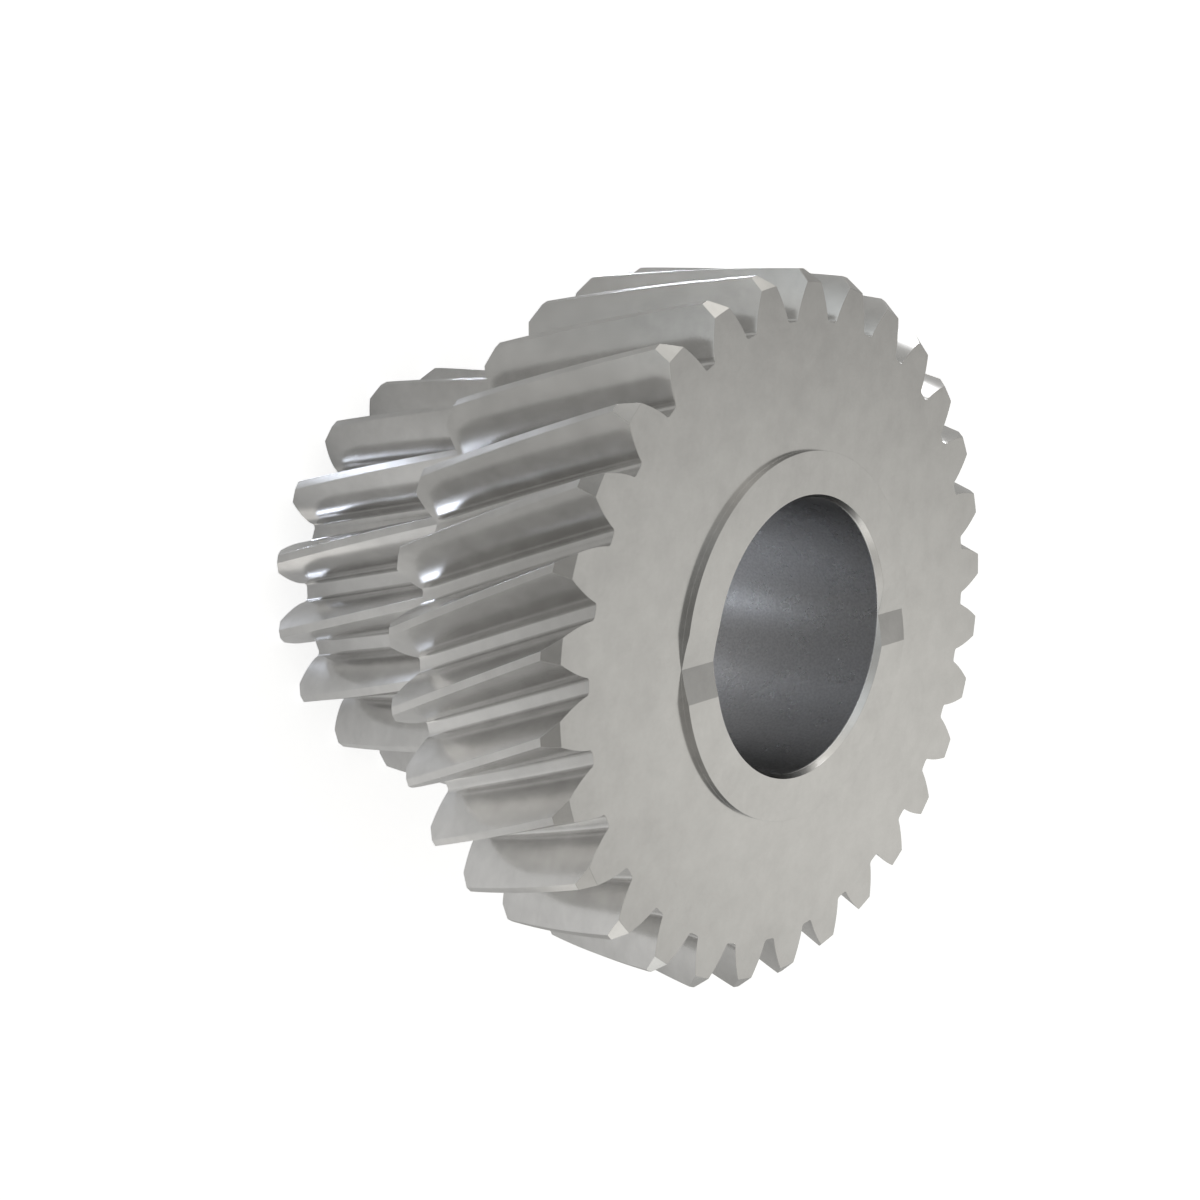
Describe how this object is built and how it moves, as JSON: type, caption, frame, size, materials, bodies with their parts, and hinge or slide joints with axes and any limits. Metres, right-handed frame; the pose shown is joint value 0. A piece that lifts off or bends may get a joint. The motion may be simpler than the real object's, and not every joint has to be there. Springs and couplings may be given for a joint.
{
  "type": "planet gear",
  "caption": "Stepped planet gear: a large and a small helical rim on one steel body, with a plain bore for needle rollers and a raised, notched thrust ring.",
  "frame": {"origin": "centre of the bore on the end face of the small rim, which the part stands on", "axes": "+Z along the bore towards the large rim's face with the thrust ring, +X along the V groove across that ring"},
  "size_m": [0.0694, 0.0694, 0.0531],
  "materials": {
    "steel": "ground and case-hardened steel, satin grey with brighter chamfers"
  },
  "bodies": {
    "root": {"planet_gear": "steel"}
  },
  "joints": []
}
